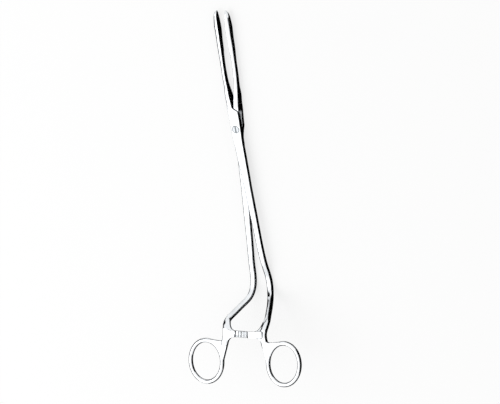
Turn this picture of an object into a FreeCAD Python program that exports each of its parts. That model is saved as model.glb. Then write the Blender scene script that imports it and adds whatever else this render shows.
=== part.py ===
# Uterine dressing forceps: two ring-handled steel arms that cross in a lap joint and turn on one slotted screw.
# Millimetres. +Y runs to the tips, +Z is up and is the joint's axis, and Z = 0 is the flat the forceps lies on.
# Each arm is drawn closed, with its shank on the +X side, then mirrored for the other arm, and opened to rest.
import FreeCAD, Part
import math
import os

from FreeCAD import Vector

# Pose: how far both arms together open from closed jaws to rest.
rest_opening = 4.2

# Running clearances.
lap_gap = 0.10
jaw_gap = 0.30
shoulder_gap = 0.30
bore_clearance = 0.05
ratchet_gap = 0.30

# Lock, where the arms cross.
stack_height = 7.0
lock_width = 7.7
grind_allowance = 0.25
lap_length = 24.0
back_relief = 1.9
shoulder_y = 15.6
shoulder_angle = 33.0

# Jaws: the inner face starts at the shoulder, bows out round a slim eye and closes on the serrated pads.
jaw_length = 87.0
eye_y = 36.0
eye_half_width = 1.85
pad_start_y = 75.0
jaw_half_depth = 4.1
jaw_pad_thickness = 5.6
jaw_neck_half_depth = 3.1
jaw_neck_thickness = 3.9
neck_y = 48.0
pad_centre_y = 75.5
serration_length = 23.0
serration_pitch = 1.15
serration_depth = 0.35

# Shanks, in two layers at the lock and side by side at the heel.
shank_width_top = 6.8
shank_width_middle = 5.3
shank_width = 4.2
shank_thickness = 3.4
heel_thickness = 3.7
heel_y = -114.8
heel_half_gap = 2.3
bar_edge_radius = 1.25

# Handle plane: it meets the ratchet bars' middle line at this height and rises towards the rings.
handle_y = -142.7
handle_height = 34.4
handle_rise = 14.0
waist_x = 10.0
waist_width = 4.3
riser_x = 11.1

# Finger rings.
ring_x = 25.4
ring_drop = 20.6
ring_half_width = 12.7
ring_half_length = 14.7
ring_wire = 3.1
ring_toe_in = 5.2

# Web between waist, ratchet bar and ring.
web_thickness = 2.7
web_inner_radius = 4.4
web_top_radius = 1.5
gusset_radius = 6.2
gusset_width = 3.0
gusset_thickness = 2.5
web_outer_radius = 2.6
web_corner_drop = 5.6

# Ratchet bars, which pass over each other.
ratchet_depth = 4.6
ratchet_thickness = 2.5
front_bar_reach = -1.9
back_bar_reach = -6.6
tooth_pitch = 2.35
tooth_height = 0.75
front_teeth = 3
back_teeth = 6

# Joint screw.
screw_head_diameter = 5.3
screw_head_depth = 1.3
screw_shank_diameter = 3.2
screw_slot_width = 0.7
screw_slot_depth = 0.6
screw_end_recess = 0.4

middle = stack_height / 2
layer = middle - lap_gap / 2
tall = 4 * stack_height


def eased(values, places, place):
    """The size at a place along the bar, easing from each station's size to the next."""
    i = 0
    while i < len(places) - 2 and place >= places[i + 1]:
        i += 1
    share = (place - places[i]) / (places[i + 1] - places[i])
    share = share * share * (3 - 2 * share)
    return [a + (b - a) * share for a, b in zip(values[i], values[i + 1])]


def bar_section(centre, along, width, thickness, corner):
    """A rounded rectangle square to the bar's run, with its width level."""
    along = Vector(along).normalize()
    across = Vector(0, 0, 1).cross(along).normalize()
    over = along.cross(across)
    half_w, half_t = width / 2, thickness / 2
    r = min(corner, 0.96 * half_w, 0.96 * half_t)

    def at(u, v):
        return centre + across * u + over * v

    edges = []
    diagonal = r * (1 - math.sqrt(0.5))
    for su, sv, turn in ((1, 1, True), (-1, 1, False), (-1, -1, True), (1, -1, False)):
        on_side = at(su * half_w, sv * (half_t - r))
        on_face = at(su * (half_w - r), sv * half_t)
        knee = at(su * (half_w - diagonal), sv * (half_t - diagonal))
        start, end = (on_side, on_face) if turn else (on_face, on_side)
        edges.append(Part.Arc(start, knee, end).toShape())
    joined = []
    for i, edge in enumerate(edges):
        following = edges[(i + 1) % 4]
        joined.append(edge)
        joined.append(Part.LineSegment(edge.Vertexes[-1].Point, following.Vertexes[0].Point).toShape())
    return Part.Wire(joined)


def loft_bar(stations, samples):
    """One smooth bar through stations of (x, y, z, width, thickness, corner)."""
    places = [0.0]
    for one, other in zip(stations, stations[1:]):
        places.append(places[-1] + Vector(*one[:3]).distanceToPoint(Vector(*other[:3])))
    curve = Part.BSplineCurve()
    curve.interpolate(Points=[Vector(*s[:3]) for s in stations], Parameters=places)
    wires = []
    for i in range(samples + 1):
        place = places[-1] * i / samples
        width, thickness, corner = eased([s[3:] for s in stations], places, place)
        wires.append(bar_section(curve.value(place), curve.tangent(place)[0], width, thickness, corner))
    return Part.makeLoft(wires, True, False)


def prism(points, low, high):
    """An upright prism on a closed outline of corner points."""
    corners = [Vector(x, y, low) for x, y in points]
    return Part.Face(Part.makePolygon(corners + corners[:1])).extrude(Vector(0, 0, high - low))


def mirrored(shape):
    return shape.mirror(Vector(0, 0, 0), Vector(1, 0, 0))


def on_handle(x, drop, rise):
    """A place in the handle plane: x across, drop towards the rings, rise towards the viewer."""
    tilt = math.radians(handle_rise)
    return Vector(
        x,
        handle_y - drop * math.cos(tilt) + rise * math.sin(tilt),
        handle_height + drop * math.sin(tilt) + rise * math.cos(tilt),
    )


def handle_plate(edges, low, high):
    """A plate in the handle plane from a closed run of edges drawn at rise = low."""
    normal = on_handle(0, 0, 1) - on_handle(0, 0, 0)
    return Part.Face(Part.Wire(edges)).extrude(normal * (high - low))


def line(a, b):
    return Part.LineSegment(a, b).toShape()


def arc(a, knee, b):
    return Part.Arc(a, knee, b).toShape()


def jaw_bar():
    """The jaw and lock half of an arm, still whole: its inner half is cut away later."""
    lock_thickness = stack_height + 2 * grind_allowance
    jaw = 2 * jaw_half_depth
    neck = 2 * jaw_neck_half_depth
    tip = jaw_length
    corner = 0.48 * jaw_pad_thickness
    stations = [
        (-0.15, tip, middle, 1.4, 1.1, 0.5),
        (-0.15, tip - 1.2, middle, 0.52 * jaw, 0.5 * jaw_pad_thickness, 0.24 * jaw_pad_thickness),
        (-0.15, tip - 4.5, middle, 0.82 * jaw, 0.84 * jaw_pad_thickness, 0.4 * jaw_pad_thickness),
        (-0.2, pad_centre_y, middle, jaw, jaw_pad_thickness, corner),
        (-0.9, pad_centre_y - 12, middle, 0.9 * jaw, 0.86 * jaw_pad_thickness, 0.88 * corner),
        (-eye_half_width + 0.2, neck_y, middle, neck, jaw_neck_thickness, 0.45 * jaw_neck_thickness),
        (-eye_half_width + 0.1, eye_y - 2, middle, neck, 1.1 * jaw_neck_thickness, 0.45 * jaw_neck_thickness),
        (-0.9, shoulder_y + 7, middle, lock_width, 0.5 * (lock_thickness + jaw_pad_thickness), 1.8),
        (0, shoulder_y - 3, middle, 1.06 * lock_width, lock_thickness, 1.1),
        (0, 0, middle, lock_width, lock_thickness, 0.9),
        (0, -lap_length / 2, middle, 0.88 * lock_width, lock_thickness, 0.9),
    ]
    return loft_bar(stations, 34)


def shank_bar(is_front):
    """The shank from the lock to the web, in its own layer until the heel."""
    side = 1 if is_front else -1
    depth = layer / 2 + lap_gap / 2
    flat = shank_thickness
    heel_z = heel_thickness / 2
    level = middle + side * depth

    def between(share):
        return heel_z + (level - heel_z) * share

    wide = bar_edge_radius
    start = -lap_length / 2
    stations = [
        (0, start + 6, level, 0.94 * lock_width, layer - 0.1, 0.8),
        (0.1, start - 4, level, shank_width_top, layer - 0.1, 0.9),
        (0.45, -31, level, 0.92 * shank_width_top, flat, 1.0),
        (0.75, -46, level, shank_width_middle + 0.3, flat, 1.1),
        (1.15, -60, level, shank_width_middle - 0.1, flat, wide),
        (1.5, -75, between(0.99), 0.5 * (shank_width_middle + shank_width), flat, wide),
        (1.75, -88, between(0.95), shank_width + 0.3, flat, wide),
        (2.1, -103, between(0.55), shank_width, 0.5 * (flat + heel_thickness), wide),
        (heel_half_gap, heel_y, between(0.04), shank_width, heel_thickness, wide),
        (3.6, heel_y - 9.2, 6.2, shank_width, heel_thickness, wide),
        (6.6, heel_y - 13.8, 14.2, shank_width, heel_thickness, wide),
        (9.3, heel_y - 17.4, 22.4, shank_width, heel_thickness, wide),
        (riser_x, heel_y - 21.6, 30.2, shank_width, heel_thickness, wide),
    ]
    for x, drop in ((waist_x, 0.3), (waist_x + 0.3, 3.6), (waist_x + 1.2, 9.0)):
        place = on_handle(x, drop, 0)
        stations.append((place.x, place.y, place.z, waist_width, heel_thickness - 0.2, wide))
    return loft_bar(stations, 60)


def finger_ring():
    """An oval ring of round wire in the handle plane, leaning in towards its foot."""
    lean = math.radians(ring_toe_in)
    points = []
    turns = 16
    for i in range(turns):
        a = 2 * math.pi * i / turns
        u, v = ring_half_width * math.cos(a), ring_half_length * math.sin(a)
        x = ring_x + u * math.cos(lean) - v * math.sin(lean)
        points.append(on_handle(x, ring_drop + u * math.sin(lean) + v * math.cos(lean), 0))
    path = Part.BSplineCurve()
    path.interpolate(Points=points, PeriodicFlag=True)
    quarters = []
    for i in range(4):
        first = path.LastParameter * i / 4
        run = path.toShape(first, path.LastParameter * (i + 1) / 4)
        centre, along = path.value(first), path.tangent(first)[0]
        outward = along.cross(on_handle(0, 0, 1) - on_handle(0, 0, 0)) * (ring_wire / 2)
        upward = outward.cross(along)
        wire = Part.Wire([
            arc(centre + outward, centre + upward, centre - outward),
            arc(centre - outward, centre - upward, centre + outward),
        ])
        quarters.append(Part.Wire(run).makePipeShell([wire], True, True))
    return quarters[0].fuse(quarters[1:])


def ring_place(angle, inset):
    """A place on the ring's middle line, or inset towards its outside, at an angle from +X."""
    lean = math.radians(ring_toe_in)
    a = math.radians(angle)
    u = (ring_half_width + inset) * math.cos(a)
    v = (ring_half_length + inset) * math.sin(a)
    return ring_x + u * math.cos(lean) - v * math.sin(lean), ring_drop + u * math.sin(lean) + v * math.cos(lean)


def web():
    """The plate that fills between waist, ratchet bar and ring, with its hollow corners."""
    low = -web_thickness / 2

    def at(x, drop):
        return on_handle(x, drop, low)

    half_bar = ratchet_depth / 2
    inner = waist_x - waist_width / 2
    outer = waist_x + waist_width / 2 - 0.2
    r = web_inner_radius
    bend = r * (1 - math.sqrt(0.5))
    bar_start = inner - r
    foot_x, foot_drop = ring_place(176, 0.9)
    mid_x, mid_drop = ring_place(205, -0.3)
    head_x, head_drop = ring_place(241, 0)
    crown_x, crown_drop = ring_place(262, 0)
    brow_x, brow_drop = ring_place(262, 0.8 * ring_wire / 2)
    s = web_outer_radius
    crook = s * (1 - math.sqrt(0.5))
    low_drop = web_corner_drop
    t = web_top_radius
    swing = t * (1 - math.sqrt(0.5))
    top_start = inner - t
    bar_end = min(bar_start, top_start) - 0.5
    edges = [
        arc(at(bar_start, half_bar), at(inner - bend, half_bar + bend), at(inner + 0.3, half_bar + r)),
        line(at(inner + 0.3, half_bar + r), at(foot_x, foot_drop)),
        arc(at(foot_x, foot_drop), at(mid_x, mid_drop), at(head_x, head_drop)),
        line(at(head_x, head_drop), at(crown_x, crown_drop)),
        line(at(crown_x, crown_drop), at(brow_x, brow_drop)),
        line(at(brow_x, brow_drop), at(outer + s, low_drop)),
        arc(at(outer + s, low_drop), at(outer + crook, low_drop - crook), at(outer, low_drop - s)),
        line(at(outer, low_drop - s), at(outer, -half_bar - t)),
        line(at(outer, -half_bar - t), at(inner + 1.2, -half_bar - t)),
        arc(at(inner + 1.2, -half_bar - t), at(inner - swing, -half_bar - swing), at(top_start, -half_bar)),
        line(at(top_start, -half_bar), at(bar_end, -half_bar)),
        line(at(bar_end, -half_bar), at(bar_end, half_bar)),
        line(at(bar_end, half_bar), at(bar_start, half_bar)),
    ]
    return handle_plate(edges, low, -low)


def gusset():
    """The fillet that flows from the riser's inner side round into the ratchet bar."""
    centre_x = waist_x - waist_width / 2 - gusset_radius
    centre_drop = -ratchet_depth / 2 - gusset_radius
    swing = gusset_radius + gusset_width / 2
    corner = 0.44 * gusset_thickness
    stations = [(riser_x - 0.8, heel_y - 19.4, 26.2, gusset_width, gusset_thickness, corner)]
    for angle, rise in ((10, -2.3), (45, -0.7), (70, -0.1), (95, 0)):
        a = math.radians(angle)
        place = on_handle(centre_x + swing * math.cos(a), centre_drop + swing * math.sin(a), rise)
        stations.append((place.x, place.y, place.z, gusset_width, gusset_thickness, corner))
    return loft_bar(stations, 14)


def ratchet_bar(reach, teeth, is_front):
    """A ratchet bar from the waist to its end, with sawteeth on the face that meets the other bar."""
    side = 1 if is_front else -1
    half = ratchet_depth / 2
    face = ratchet_gap / 2
    back = face + ratchet_thickness
    outline = [(waist_x, face), (reach + teeth * tooth_pitch, face)]
    for i in range(teeth, 0, -1):
        crest = reach + i * tooth_pitch
        outline.append((crest - 0.25 * tooth_pitch, face + tooth_height))
        outline.append((crest - tooth_pitch, face))
    outline += [(reach, back - 0.6), (reach + 0.6, back), (waist_x, back)]
    corners = [on_handle(x, -half, side * rise) for x, rise in outline]
    along = on_handle(0, 1, 0) - on_handle(0, 0, 0)
    return Part.Face(Part.makePolygon(corners + corners[:1])).extrude(along * ratchet_depth)


def other_bar_room(is_front):
    """The room beside an arm's web that the other arm's ratchet bar slides into."""
    side = 1 if is_front else -1
    reach = back_bar_reach if is_front else front_bar_reach
    far = -reach + ratchet_gap
    half = ratchet_depth / 2 + ratchet_gap
    near = side * ratchet_gap / 2
    corners = [
        on_handle(x, drop, near)
        for x, drop in ((-tall, -half), (far, -half), (far, half), (-tall, half))
    ]
    along = on_handle(0, 0, -side) - on_handle(0, 0, 0)
    return Part.Face(Part.makePolygon(corners + corners[:1])).extrude(along * tall)


def jaw_side_room(gap):
    """All that an arm's jaw leaves free on the other jaw's side: eye, pad gap, serrations and shoulder."""
    slope = math.tan(math.radians(shoulder_angle))
    pad_face = -jaw_gap / 2
    eye = Part.BSplineCurve()
    eye.interpolate([
        Vector(-gap, shoulder_y, -tall),
        Vector(-0.5 * eye_half_width, shoulder_y + 8, -tall),
        Vector(-eye_half_width, eye_y, -tall),
        Vector(-0.85 * eye_half_width, neck_y + 3, -tall),
        Vector(-0.45 * eye_half_width, pad_start_y - 10, -tall),
        Vector(pad_face, pad_start_y, -tall),
    ])
    edges = [eye.toShape()]
    last = Vector(pad_face, pad_start_y, -tall)
    for corner in (
        Vector(pad_face, jaw_length + 5, -tall),
        Vector(tall, jaw_length + 5, -tall),
        Vector(tall, shoulder_y - (tall + gap) * slope, -tall),
        Vector(-gap, shoulder_y, -tall),
    ):
        edges.append(line(last, corner))
        last = corner
    return Part.Face(Part.Wire(edges)).extrude(Vector(0, 0, 2 * tall))


def serrations():
    """A comb of crosswise grooves in the pads, as one toothed prism along the inner face."""
    face = -jaw_gap / 2
    start = jaw_length - 2.5
    count = int(serration_length / serration_pitch)
    points = [(tall, start), (face, start)]
    for i in range(count):
        top = start - i * serration_pitch
        points.append((face - serration_depth, top - 0.5 * serration_pitch))
        points.append((face, top - serration_pitch))
    points.append((tall, start - count * serration_pitch))
    return prism(points, -tall, tall)


def lap_room(is_front):
    """The half of the lock that the other arm's layer passes through."""
    slope = math.tan(math.radians(shoulder_angle))
    reach = 3 * lock_width
    top = shoulder_y + shoulder_gap
    points = [(0, top), (-reach, top - reach * slope), (-reach, -lap_length), (reach, -lap_length), (reach, top)]
    if is_front:
        return prism(points, -tall, middle + lap_gap / 2)
    return prism(points, middle - lap_gap / 2, tall)


def back_corner():
    """The corner behind the screw that the back arm gives up, so that it turns out of sight under the front arm."""
    edge = -lock_width / 2
    inset = edge + back_relief
    start = -lap_length / 2
    curve = Part.BSplineCurve()
    curve.interpolate([
        Vector(edge - 0.6, 4, -tall),
        Vector(edge + 0.4 * back_relief, -1, -tall),
        Vector(inset, 0.6 * start, -tall),
        Vector(inset, 1.6 * start, -tall),
        Vector(edge + 0.3 * back_relief, 3.3 * start, -tall),
    ])
    first, last = curve.value(curve.FirstParameter), curve.value(curve.LastParameter)
    outside = -2 * lock_width
    edges = [
        curve.toShape(),
        line(last, Vector(outside, last.y, -tall)),
        line(Vector(outside, last.y, -tall), Vector(outside, first.y, -tall)),
        line(Vector(outside, first.y, -tall), first),
    ]
    return Part.Face(Part.Wire(edges)).extrude(Vector(0, 0, 2 * tall))


def box(low, high):
    size = Vector(*high) - Vector(*low)
    return Part.makeBox(size.x, size.y, size.z, Vector(*low))


def joint_hole(is_front):
    """The screw's way through one arm: a seat and running bore in front, a threaded hole behind."""
    if not is_front:
        return Part.makeCylinder(screw_shank_diameter / 2, tall, Vector(0, 0, -middle))
    bore = Part.makeCylinder(screw_shank_diameter / 2 + bore_clearance, tall, Vector(0, 0, 0))
    seat_z = stack_height - screw_head_depth - bore_clearance
    seat = Part.makeCylinder(screw_head_diameter / 2 + bore_clearance, tall, Vector(0, 0, seat_z))
    return bore.fuse(seat)


def arm(is_front):
    """One whole forged arm, from jaw tip to finger ring, at rest."""
    teeth = front_teeth if is_front else back_teeth
    reach = front_bar_reach if is_front else back_bar_reach
    blade = jaw_bar().cut(jaw_side_room(0.05)).cut(serrations()).cut(lap_room(is_front))
    handle = web().fuse([finger_ring(), gusset()]).cut(other_bar_room(is_front))
    whole = blade.fuse([shank_bar(is_front), handle, ratchet_bar(reach, teeth, is_front)])
    whole = whole.cut(box((-tall, 2 * heel_y, -tall), (tall, 2 * jaw_length, 0)))
    whole = whole.cut(box((-tall, -lap_length, stack_height), (tall, jaw_length / 2, tall)))
    whole = whole.cut(joint_hole(is_front))
    turn = rest_opening / 2
    if not is_front:
        whole = mirrored(whole.cut(back_corner()))
        turn = -turn
    whole.rotate(Vector(0, 0, 0), Vector(0, 0, 1), turn)
    return whole


def lock_screw():
    """The slotted screw the arms turn on, held by its thread in the back arm."""
    radius = screw_head_diameter / 2
    head = Part.makeCylinder(radius, screw_head_depth, Vector(0, 0, stack_height - screw_head_depth))
    rim = [e for e in head.Edges if e.BoundBox.ZMin > stack_height - 0.01]
    head = head.makeChamfer(0.2, rim)
    length = stack_height - screw_end_recess - screw_head_depth / 2
    screw = head.fuse(Part.makeCylinder(screw_shank_diameter / 2, length, Vector(0, 0, screw_end_recess)))
    half = screw_slot_width / 2
    return screw.cut(box((-half, -tall, stack_height - screw_slot_depth), (half, tall, tall)))


os.makedirs("parts", exist_ok=True)
for name, shape in (("front_arm", arm(True)), ("back_arm", arm(False)), ("lock_screw", lock_screw())):
    solids = shape.Solids
    print(name, len(solids), shape.isValid(), [round(s.Volume, 1) for s in solids], shape.BoundBox)
    shape.exportStep(f"parts/{name}.step")
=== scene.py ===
import bmesh
import bpy
import math
import numpy as np
from mathutils import Matrix, Vector


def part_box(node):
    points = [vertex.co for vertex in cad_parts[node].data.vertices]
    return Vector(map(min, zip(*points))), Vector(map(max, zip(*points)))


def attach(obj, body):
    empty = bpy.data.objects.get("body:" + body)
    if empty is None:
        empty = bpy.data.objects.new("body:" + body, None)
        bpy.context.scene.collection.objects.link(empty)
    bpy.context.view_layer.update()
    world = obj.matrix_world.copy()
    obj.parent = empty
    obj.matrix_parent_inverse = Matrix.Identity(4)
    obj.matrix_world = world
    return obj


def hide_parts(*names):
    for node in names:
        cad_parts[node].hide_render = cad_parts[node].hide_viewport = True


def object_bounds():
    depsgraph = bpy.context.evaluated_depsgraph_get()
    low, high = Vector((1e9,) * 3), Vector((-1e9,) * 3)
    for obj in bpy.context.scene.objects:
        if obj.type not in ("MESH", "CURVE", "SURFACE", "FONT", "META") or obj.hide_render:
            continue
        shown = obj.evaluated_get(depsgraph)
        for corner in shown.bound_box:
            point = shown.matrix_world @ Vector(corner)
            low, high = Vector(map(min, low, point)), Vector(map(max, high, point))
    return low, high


# Uterine dressing forceps: two polished steel arms and a slotted screw, lying on a white table.
# Metres. +Y runs to the jaw tips, +Z is up, and the arms turn about Z through the origin.
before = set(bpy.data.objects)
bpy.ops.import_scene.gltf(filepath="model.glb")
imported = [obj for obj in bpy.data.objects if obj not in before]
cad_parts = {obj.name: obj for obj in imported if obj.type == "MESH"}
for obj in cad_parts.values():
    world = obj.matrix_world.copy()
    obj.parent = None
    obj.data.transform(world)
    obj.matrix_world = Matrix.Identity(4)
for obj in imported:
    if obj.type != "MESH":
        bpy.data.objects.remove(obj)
cadLow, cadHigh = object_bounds()
mm = 0.001


def linearColour(hexColour):
    # sRGB hex to linear: the usual two-part curve, channel by channel
    srgb = np.array([int(hexColour[i:i + 2], 16) for i in (0, 2, 4)]) / 255
    linear = np.where(srgb <= 0.04045, srgb / 12.92, ((srgb + 0.055) / 1.055) ** 2.4)
    return (*linear.tolist(), 1.0)


def addNode(tree, kind, values=None, links=None, **settings):
    # one node: settings are its own, values and links go to its inputs by name or number
    node = tree.nodes.new(kind)
    for name, value in settings.items():
        setattr(node, name, value)
    for name, value in (values or {}).items():
        node.inputs[name].default_value = value
    for name, source in (links or {}).items():
        tree.links.new(source, node.inputs[name])
    return node


def newMaterial(name):
    material = bpy.data.materials.new(name)
    material.use_nodes = True
    material.node_tree.nodes.clear()
    return material, material.node_tree


# Steel finishes

polish = {
    "steel": "DADCDE",          # ground and polished stainless, faintly cool
    "steelDull": "C2C5C8",      # where the polishing wheel passed less
    "roughness": (0.10, 0.22),  # mirror to slightly hazy
    "hazeSize": 14 * mm,        # patches left by the wheel
    "hazeDetail": 3.0,
    "hazeMix": 0.55,            # how much each finer layer of the pattern adds
    "grainWidth": 0.16 * mm,    # real scratches are finer: drawn coarser so that they show
    "grainDetail": 2.0,
    "grainMix": 0.6,
    "grainStretch": 26,         # scratch length over its width, along the arm
    "grainHeight": 0.004 * mm,
    "grainRelief": 0.6,         # strength of the bump
    "grainShare": 0.35,         # weight of the grain in the roughness, beside the haze
    "patternRange": (0.4, 1.0),  # values of grain and haze together that span the roughness
}


def polishedSteel(name, look):
    # stainless steel, ground and wheel-polished along its length: bright, with a faint lengthwise grain
    material, tree = newMaterial(name)
    place = addNode(tree, "ShaderNodeTexCoord")
    alongArm = addNode(
        tree, "ShaderNodeMapping",
        {"Scale": (1.0, 1.0 / look["grainStretch"], 1.0)}, {"Vector": place.outputs["Object"]},
    )
    grain = addNode(
        tree, "ShaderNodeTexNoise",
        {"Scale": 1 / look["grainWidth"], "Detail": look["grainDetail"], "Roughness": look["grainMix"]},
        {"Vector": alongArm.outputs[0]},
    )
    haze = addNode(
        tree, "ShaderNodeTexNoise",
        {"Scale": 1 / look["hazeSize"], "Detail": look["hazeDetail"], "Roughness": look["hazeMix"]},
        {"Vector": place.outputs["Object"]},
    )
    colour = addNode(
        tree, "ShaderNodeMix",
        {"A": linearColour(look["steel"]), "B": linearColour(look["steelDull"])},
        {"Factor": haze.outputs["Fac"]}, data_type="RGBA",
    )
    both = addNode(
        tree, "ShaderNodeMath",
        {1: look["grainShare"]}, {0: grain.outputs["Fac"], 2: haze.outputs["Fac"]}, operation="MULTIPLY_ADD",
    )
    (leastPattern, mostPattern), (smoothest, roughest) = look["patternRange"], look["roughness"]
    roughness = addNode(
        tree, "ShaderNodeMapRange",
        {"From Min": leastPattern, "From Max": mostPattern, "To Min": smoothest, "To Max": roughest},
        {"Value": both.outputs[0]},
    )
    bump = addNode(
        tree, "ShaderNodeBump", {"Strength": look["grainRelief"], "Distance": look["grainHeight"]},
        {"Height": grain.outputs["Fac"]},
    )
    shader = addNode(
        tree, "ShaderNodeBsdfPrincipled", {"Metallic": 1.0},
        {
            "Base Color": colour.outputs["Result"],
            "Roughness": roughness.outputs["Result"],
            "Normal": bump.outputs["Normal"],
        },
    )
    addNode(tree, "ShaderNodeOutputMaterial", links={"Surface": shader.outputs[0]})
    return material


armSteel = polishedSteel("polishedForgedSteel", polish)
screwSteel = polishedSteel("turnedSatinSteel", {
    **polish, "steel": "A9ACAF", "steelDull": "989C9F", "roughness": (0.2, 0.34), "grainStretch": 3,
})
print("steel finishes made")


# Arms

forging = {
    "opening": 4.2,          # degrees from closed jaws to rest, both arms together
    "voxel": 0.26 * mm,      # cell of the skin that joins jaw, shank, web, bar and ring
    "merge": 0.002 * mm,
    "allRounds": 1,          # one smoothing round everywhere: the lock and the teeth stay crisp
    "softRounds": 14,        # more rounds that soften handle and jaws, as a polishing belt does
    "roundStep": 0.5,        # how far a round moves a point towards the mean of its neighbours
    # from here on in mm, on the closed arm
    "handleStart": -26,
    "jawStart": 19,
    "fade": 8,
    "jawInside": -1.1,       # the serrated face and the eye's inner edge stay crisp
    "jawOutside": -2.0,
    "teethLow": (-8.0, -145.6, 33.0),   # corners of the box round the ratchet teeth, which stay crisp
    "teethHigh": (8.2, -139.8, 38.0),
}


def mergedCopy(node, name):
    # the CAD mesh is loose triangles, so this copy has its doubles merged
    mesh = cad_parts[node].data.copy()
    work = bmesh.new()
    work.from_mesh(mesh)
    bmesh.ops.remove_doubles(work, verts=work.verts, dist=forging["merge"])
    work.to_mesh(mesh)
    work.free()
    mesh.name = name
    mesh.materials.clear()
    piece = bpy.data.objects.new(name, mesh)
    bpy.context.scene.collection.objects.link(piece)
    return piece


def applyModifiers(piece):
    shape = bpy.data.meshes.new_from_object(piece.evaluated_get(bpy.context.evaluated_depsgraph_get()))
    piece.modifiers.clear()
    piece.data = shape


def pointsOf(mesh):
    points = np.empty(len(mesh.vertices) * 3)
    mesh.vertices.foreach_get("co", points)
    return points.reshape(-1, 3)


def smoothStep(values, start, end):
    share = np.clip((values - start) / (end - start), 0, 1)
    return share * share * (3 - 2 * share)


def soften(mesh, rounds, weights):
    # each round moves every point by its weight times a step towards the mean of its neighbours
    edges = np.empty(len(mesh.edges) * 2, int)
    mesh.edges.foreach_get("vertices", edges)
    one, other = edges.reshape(-1, 2).T
    points = pointsOf(mesh)
    count = np.bincount(np.concatenate([one, other]), minlength=len(points))[:, None]
    for _ in range(rounds):
        total = np.zeros_like(points)
        np.add.at(total, one, points[other])
        np.add.at(total, other, points[one])
        points += forging["roundStep"] * weights[:, None] * (total / count - points)
    mesh.vertices.foreach_set("co", points.ravel())
    mesh.update()


# the tilted ring plane, which passes through y and height; waist is the web's narrow place, beside the bar
handle = {"y": -142.7, "height": 34.4, "rise": 14.0, "waist": 10.0}   # mm and degrees


def onHandle(x, drop):
    # a place in the ring plane: x across, drop towards the rings
    tilt = math.radians(handle["rise"])
    return np.stack(np.broadcast_arrays(
        x, handle["y"] - drop * math.cos(tilt), handle["height"] + drop * math.sin(tilt),
    ), axis=-1)


# the shank's stations on the closed front arm, in mm, the same as the solid's
shank = {
    "proud": 0.05,           # it stands this far proud of the CAD skin, whose facets it covers
    "heelHeight": 1.85,
    "layerHeight": {"front_arm": 5.275, "back_arm": 1.725},
    # x, y, share of the way from the heel's height up to the layer's, width, thickness, corner
    "layered": (
        (0.0, -6, 1.0, 7.24, 3.35, 0.8),
        (0.1, -16, 1.0, 6.8, 3.35, 0.9),
        (0.45, -31, 1.0, 6.26, 3.4, 1.0),
        (0.75, -46, 1.0, 5.6, 3.4, 1.1),
        (1.15, -60, 1.0, 5.2, 3.4, 1.25),
        (1.5, -75, 0.99, 4.75, 3.4, 1.25),
        (1.75, -88, 0.95, 4.5, 3.4, 1.25),
        (2.1, -103, 0.55, 4.2, 3.55, 1.25),
        (2.3, -114.8, 0.04, 4.2, 3.7, 1.25),
    ),
    # x, y, height, width, thickness, corner
    "riser": (
        (3.6, -124.0, 6.2, 4.2, 3.7, 1.25),
        (6.6, -128.6, 14.2, 4.2, 3.7, 1.25),
        (9.3, -132.2, 22.4, 4.2, 3.7, 1.25),
        (11.1, -136.4, 30.2, 4.2, 3.7, 1.25),
    ),
    "waist": ((0.0, 0.3), (0.3, 3.6), (1.2, 9.0)),   # x past the waist, drop
    "waistSection": (4.3, 3.5, 1.25),
    "start": -42,            # towards the lock from here the arm keeps the CAD skin
    "blend": 14,             # length over which the skin comes out of the CAD one
    "samples": 300,
    "cornerSteps": 9,
}


def splineThrough(places, values, at):
    # natural cubic spline: the second derivatives solve one linear system, then each span is its cubic
    step = np.diff(places)[:, None]
    count = len(places)
    system, right = np.eye(count), np.zeros_like(values)
    for i in range(1, count - 1):
        system[i, i - 1:i + 2] = step[i - 1, 0], 2 * (step[i - 1, 0] + step[i, 0]), step[i, 0]
    right[1:-1] = 6 * (np.diff(values, axis=0)[1:] / step[1:] - np.diff(values, axis=0)[:-1] / step[:-1])
    bend = np.linalg.solve(system, right)
    i = np.clip(np.searchsorted(places, at, side="right") - 1, 0, count - 2)
    h = step[i]
    b = (at - places[i])[:, None] / h
    a = 1 - b
    return a * values[i] + b * values[i + 1] + ((a**3 - a) * bend[i] + (b**3 - b) * bend[i + 1]) * h * h / 6


def easedSizes(places, sizes, at):
    # from each station's sizes to the next along a smooth step
    i = np.clip(np.searchsorted(places, at, side="right") - 1, 0, len(places) - 2)
    share = smoothStep(at, places[i], places[i + 1])[:, None]
    return sizes[i] + (sizes[i + 1] - sizes[i]) * share


def tubeMesh(name, rings, closed):
    # rings: turns x points x 3, in mm on the closed arm, joined ring to ring and capped unless closed
    turns, points = rings.shape[:2]
    index = np.arange(turns * points).reshape(turns, points)
    ring = index if closed else index[:-1]
    following = np.roll(index, -1, axis=0) if closed else index[1:]
    corners = [ring, np.roll(ring, -1, 1), np.roll(following, -1, 1), following]
    faces = np.stack(corners, -1).reshape(-1, 4).tolist()
    if not closed:
        faces += [index[0][::-1].tolist(), index[-1].tolist()]
    mesh = bpy.data.meshes.new(name)
    mesh.from_pydata(rings.reshape(-1, 3), [], faces)
    return mesh


def roundedSections(halfWidth, halfThickness, corner, steps):
    # rounded rectangles, one row for each entry: four quarter circles about the corners' centres
    quarter = np.linspace(0, math.pi / 2, steps)
    angle = np.concatenate([quarter + k * math.pi / 2 for k in range(4)])
    rightOrLeft = np.repeat([1, -1, -1, 1], steps)
    upOrDown = np.repeat([1, 1, -1, -1], steps)
    u = (halfWidth - corner)[:, None] * rightOrLeft + corner[:, None] * np.cos(angle)
    v = (halfThickness - corner)[:, None] * upOrDown + corner[:, None] * np.sin(angle)
    return u[..., None], v[..., None]


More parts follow.
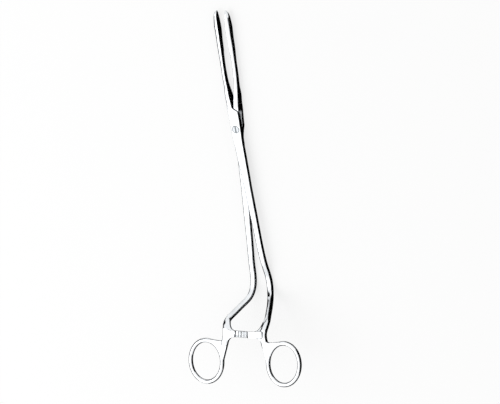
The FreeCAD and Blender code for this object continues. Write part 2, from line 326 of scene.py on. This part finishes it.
def shankMesh(node):
    # the section, a rounded rectangle with its width level, carried along the spline of the stations
    layer, heel = shank["layerHeight"][node], shank["heelHeight"]
    rows = [(x, y, heel + (layer - heel) * share, *size) for x, y, share, *size in shank["layered"]]
    rows += [tuple(row) for row in shank["riser"]]
    rows += [(*onHandle(handle["waist"] + x, drop), *shank["waistSection"]) for x, drop in shank["waist"]]
    rows = np.array(rows, float)
    centres, sizes = rows[:, :3], rows[:, 3:]
    places = np.concatenate([[0], np.cumsum(np.linalg.norm(np.diff(centres, axis=0), axis=1))])
    first = np.interp(-shank["start"], -centres[:, 1], places)
    at = np.linspace(first, places[-1], shank["samples"])
    path = splineThrough(places, centres, at)
    width, thickness, corner = easedSizes(places, sizes, at).T
    proud = shank["proud"] * (2 * smoothStep(at, first, first + shank["blend"]) - 1)
    u, v = roundedSections(width / 2 + proud, thickness / 2 + proud, corner, shank["cornerSteps"])
    along = np.gradient(path, at, axis=0)
    along /= np.linalg.norm(along, axis=1)[:, None]
    across = np.cross((0, 0, 1), along)
    across /= np.linalg.norm(across, axis=1)[:, None]
    over = np.cross(along, across)
    rings = path[:, None] + u * across[:, None] + v * over[:, None]
    rings[..., 2] = np.maximum(rings[..., 2], 0)   # the heel is flat where it rests on the table
    return tubeMesh("shankSkin", rings, False)


# mm and degrees, on the closed front arm: drop is measured down the ring plane
fingerRing = {
    "x": 25.4, "drop": 20.6, "halfWidth": 12.7, "halfLength": 14.7, "wire": 3.1, "toeIn": 5.2,
    "proud": 0.06, "turns": 256, "points": 40,
}


def ringMesh():
    # round wire carried along an oval in the ring plane, leaning in towards its foot
    lean = math.radians(fingerRing["toeIn"])
    a = np.linspace(0, 2 * math.pi, fingerRing["turns"], endpoint=False)
    u, v = fingerRing["halfWidth"] * np.cos(a), fingerRing["halfLength"] * np.sin(a)
    x = fingerRing["x"] + u * math.cos(lean) - v * math.sin(lean)
    centre = onHandle(x, fingerRing["drop"] + u * math.sin(lean) + v * math.cos(lean))
    along = np.roll(centre, -1, axis=0) - np.roll(centre, 1, axis=0)
    along /= np.linalg.norm(along, axis=1)[:, None]
    tilt = math.radians(handle["rise"])
    upward = np.array([0, math.sin(tilt), math.cos(tilt)])
    outward = np.cross(along, upward)
    b = np.linspace(0, 2 * math.pi, fingerRing["points"], endpoint=False)
    radius = fingerRing["wire"] / 2 + fingerRing["proud"]
    section = radius * (np.cos(b)[None, :, None] * outward[:, None] + np.sin(b)[None, :, None] * upward)
    return tubeMesh("ringSkin", centre[:, None] + section, True)


def armTurn(node):
    # from the closed drawing to the arm at rest: the back arm is the mirror image
    side = 1 if node == "front_arm" else -1
    turn = Matrix.Rotation(math.radians(side * forging["opening"] / 2), 4, "Z")
    return turn @ Matrix.Diagonal((side, 1, 1, 1))


def joinMeshes(target, meshes, placed):
    work = bmesh.new()
    work.from_mesh(target)
    for mesh in meshes:
        mesh.transform(placed)
        work.from_mesh(mesh)
        bpy.data.meshes.remove(mesh)
    work.to_mesh(target)
    work.free()


def softWeights(closed):
    # 1 on the handle and the jaws' outsides, 0 on the lock, the serrations and the ratchet teeth
    x, y, _ = closed.T
    onShank = 1 - smoothStep(y, forging["handleStart"] - forging["fade"], forging["handleStart"])
    onJaw = smoothStep(y, forging["jawStart"], forging["jawStart"] + forging["fade"])
    onJaw *= smoothStep(-x, -forging["jawInside"], -forging["jawOutside"])
    low, high = np.array(forging["teethLow"]), np.array(forging["teethHigh"])
    onTeeth = np.all((closed > low) & (closed < high), axis=1)
    return np.where(onTeeth, 0.0, np.maximum(onShank, onJaw))


def dressArm(node, body):
    piece = mergedCopy(node, node + "_forging")
    joinMeshes(piece.data, [shankMesh(node), ringMesh()], Matrix.Scale(mm, 4) @ armTurn(node))
    skin = piece.modifiers.new("skin", "REMESH")
    skin.mode = "VOXEL"
    skin.voxel_size = forging["voxel"]
    applyModifiers(piece)
    back = np.array(armTurn(node).inverted().to_3x3())
    weights = softWeights(pointsOf(piece.data) @ back.T / mm)
    soften(piece.data, forging["allRounds"], np.ones(len(weights)))
    soften(piece.data, forging["softRounds"], weights)
    piece.data.materials.append(armSteel)
    piece.data.shade_smooth()
    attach(piece, body)
    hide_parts(node)
    print(node, "dressed,", len(piece.data.polygons), "faces")


dressArm("front_arm", "front_arm")
dressArm("back_arm", "back_arm")


# Screw

# the rim and the slot's edges are rounded, which gives the head its dark circle
screwFinish = {"edge": 0.22 * mm, "edgeSteps": 3, "sharp": 30}


def dressScrew():
    piece = mergedCopy("lock_screw", "slotted_screw")
    rim = piece.modifiers.new("brokenEdges", "BEVEL")
    rim.width = screwFinish["edge"]
    rim.segments = screwFinish["edgeSteps"]
    rim.limit_method = "ANGLE"
    rim.angle_limit = math.radians(screwFinish["sharp"])
    rim.harden_normals = True
    applyModifiers(piece)
    piece.data.materials.append(screwSteel)
    piece.data.shade_smooth()
    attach(piece, "back_arm")
    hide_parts("lock_screw")
    print("screw dressed,", len(piece.data.polygons), "faces")


dressScrew()


# Camera, as the picture looks at the forceps

picture = {
    "turn": 30,             # degrees round from the ring plane's normal, to the right
    "slope": 16,            # the picture plane's tip against the table
    "lean": 3.7,
    "width": 350 * mm,      # what 500 px take in
    "right": 10.08 * mm,    # aim point from the screw's top, in the picture's own directions
    "down": 50.61 * mm,
    "lens": 1000,           # so long that the view is all but parallel, as in the engraving
    "sensor": 36,
    "clip": (0.01, 10),     # nearest and farthest seen, as shares of the camera's distance
}


def pictureDirections():
    # right, up and towards the viewer, as unit vectors
    turn, slope, lean = (math.radians(picture[key]) for key in ("turn", "slope", "lean"))
    uphill = Vector((0, math.cos(slope), -math.sin(slope)))
    outward = Vector((0, math.sin(slope), math.cos(slope)))
    level = math.cos(turn) * outward + Vector((math.sin(turn), 0, 0))
    towards = math.cos(lean) * level + math.sin(lean) * uphill
    up = math.cos(lean) * uphill - math.sin(lean) * level
    right = Vector((math.cos(turn), 0, 0)) - math.sin(turn) * outward
    return right, up, towards


def makeCamera():
    right, up, towards = pictureDirections()
    screwTop = Vector((0, 0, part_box("lock_screw")[1].z))
    aim = screwTop + picture["right"] * right - picture["down"] * up
    data = bpy.data.cameras.new("pictureCamera")
    data.lens = picture["lens"]
    data.sensor_width = picture["sensor"]
    camera = bpy.data.objects.new("pictureCamera", data)
    bpy.context.scene.collection.objects.link(camera)
    away = picture["width"] * picture["lens"] / picture["sensor"]
    axes = Matrix((right, up, towards)).transposed().to_4x4()
    camera.matrix_world = Matrix.Translation(aim + away * towards) @ axes
    data.clip_start, data.clip_end = (away * share for share in picture["clip"])
    bpy.context.scene.camera = camera


makeCamera()


# Table, cards and lamps

studio = {
    "white": "F7F7F7",
    "tableSize": 6.0,
    "tableRoughness": 0.9,
    "tableSheen": 0.1,       # specular level: card stock hardly mirrors
    "tableGlow": 0.72,       # share of the table that shows as plain white: the rest keeps the shadow
    "ambient": 0.75,         # light of the white room on things, against what shows
    "inMetal": 1.4,          # how much brighter the white room and table show in the steel
    "black": "050505",
    "lampPlace": (-0.60, -0.15, 1.0),   # high on the left, as the engraving is lit
    "lampSize": 1.2,
    "lampPower": 5.8,
}


def seenDirectly(tree):
    # 1 for what the camera sees, straight or in metal or glass, and 0 for light that falls on things
    path = addNode(tree, "ShaderNodeLightPath")
    first = addNode(
        tree, "ShaderNodeMath",
        links={0: path.outputs["Is Camera Ray"], 1: path.outputs["Is Glossy Ray"]}, operation="MAXIMUM",
    )
    return addNode(
        tree, "ShaderNodeMath",
        links={0: first.outputs[0], 1: path.outputs["Is Transmission Ray"]}, operation="MAXIMUM",
    ).outputs[0]


def brighterInMetal(tree):
    # 1 for every other ray, and more for one that comes off metal
    path = addNode(tree, "ShaderNodeLightPath")
    return addNode(
        tree, "ShaderNodeMapRange", {"To Min": 1.0, "To Max": studio["inMetal"]},
        {"Value": path.outputs["Is Glossy Ray"]},
    ).outputs[0]


def makeWorld():
    world = bpy.data.worlds.new("softWhiteRoom")
    world.use_nodes = True
    tree = world.node_tree
    tree.nodes.clear()
    strength = addNode(
        tree, "ShaderNodeMapRange", {"To Min": studio["ambient"], "To Max": 1.0},
        {"Value": seenDirectly(tree)},
    )
    shown = addNode(
        tree, "ShaderNodeMath",
        links={0: strength.outputs[0], 1: brighterInMetal(tree)}, operation="MULTIPLY",
    )
    glow = addNode(
        tree, "ShaderNodeBackground", {"Color": (1, 1, 1, 1)}, {"Strength": shown.outputs[0]},
    )
    addNode(tree, "ShaderNodeOutputWorld", links={"Surface": glow.outputs[0]})
    bpy.context.scene.world = world


def addStage(name, corners, material):
    mesh = bpy.data.meshes.new(name)
    mesh.from_pydata(corners, [], [list(range(len(corners)))])
    mesh.materials.append(material)
    card = bpy.data.objects.new(name, mesh)
    bpy.context.scene.collection.objects.link(card)
    return card


def makeTable():
    # matt white card stock: it shows as plain white with a soft shadow
    material, tree = newMaterial("mattWhiteCardStock")
    matt = addNode(
        tree, "ShaderNodeBsdfPrincipled",
        {
            "Base Color": linearColour(studio["white"]),
            "Roughness": studio["tableRoughness"],
            "Specular IOR Level": studio["tableSheen"],
        },
    )
    glow = addNode(
        tree, "ShaderNodeEmission", {"Color": (1, 1, 1, 1)}, {"Strength": brighterInMetal(tree)},
    )
    share = addNode(
        tree, "ShaderNodeMath", {1: studio["tableGlow"]}, {0: seenDirectly(tree)}, operation="MULTIPLY",
    )
    mixed = addNode(
        tree, "ShaderNodeMixShader", links={0: share.outputs[0], 1: matt.outputs[0], 2: glow.outputs[0]},
    )
    addNode(tree, "ShaderNodeOutputMaterial", links={"Surface": mixed.outputs[0]})
    half = studio["tableSize"] / 2
    addStage("table", [(-half, -half, 0), (half, -half, 0), (half, half, 0), (-half, half, 0)], material)


cards = {
    "room": 90 * mm,           # how far the floor card reaches past the rings and to the left of them
    "lift": 0.02 * mm,         # the floor card lies just above the table
    "besideShank": -14 * mm,   # left of the shanks only a strip is black, so that the risers stay bright
    "heel": -122 * mm,
    "right": 200 * mm,
    "rightTop": 230 * mm,      # the right card is the tallest: it gives the dark right-hand sides
    "nearLeft": -70 * mm,
    "nearTop": 90 * mm,        # the near one, past the rings, darkens their lower edges
    "farLeft": -150 * mm,
    "leftTop": 110 * mm,       # the left one draws the thin left outlines
}


def uprightCorners(start, end, top):
    # a card that stands on the table along the line from start to end
    return [(*start, 0), (*end, 0), (*end, top), (*start, top)]


def makeBlackCards():
    # black card that only the metal sees
    material, tree = newMaterial("mattBlackCard")
    black = addNode(tree, "ShaderNodeBsdfDiffuse", {"Color": linearColour(studio["black"])})
    addNode(tree, "ShaderNodeOutputMaterial", links={"Surface": black.outputs[0]})
    left, right, farLeft = cadLow.x - cards["room"], cards["right"], cards["farLeft"]
    near, far = cadLow.y - cards["room"], cadHigh.y
    besideShank, heel = cards["besideShank"], cards["heel"]
    outline = (
        (left, near), (right, near), (right, far), (besideShank, far), (besideShank, heel), (left, heel),
    )
    corners = {
        "blackFloorCard": [(x, y, cards["lift"]) for x, y in outline],
        "blackSideCard": uprightCorners((right, near), (right, far), cards["rightTop"]),
        "blackNearCard": uprightCorners((cards["nearLeft"], near), (right, near), cards["nearTop"]),
        "blackLeftCard": uprightCorners((farLeft, near), (farLeft, far), cards["leftTop"]),
    }
    for name, places in corners.items():
        card = addStage(name, places, material)
        card.visible_camera = False
        card.visible_diffuse = False
        card.visible_shadow = False
        card.visible_transmission = False


def makeLamp():
    data = bpy.data.lights.new("softBox", "AREA")
    data.size = studio["lampSize"]
    data.energy = studio["lampPower"]
    lamp = bpy.data.objects.new("softBox", data)
    bpy.context.scene.collection.objects.link(lamp)
    lamp.location = studio["lampPlace"]
    lamp.rotation_mode = "QUATERNION"
    towards = (cadLow + cadHigh) / 2 - lamp.location
    lamp.rotation_quaternion = towards.to_track_quat("-Z", "Y")


makeWorld()
makeTable()
makeBlackCards()
makeLamp()
bpy.context.scene.view_settings.view_transform = "Standard"
print("studio made")
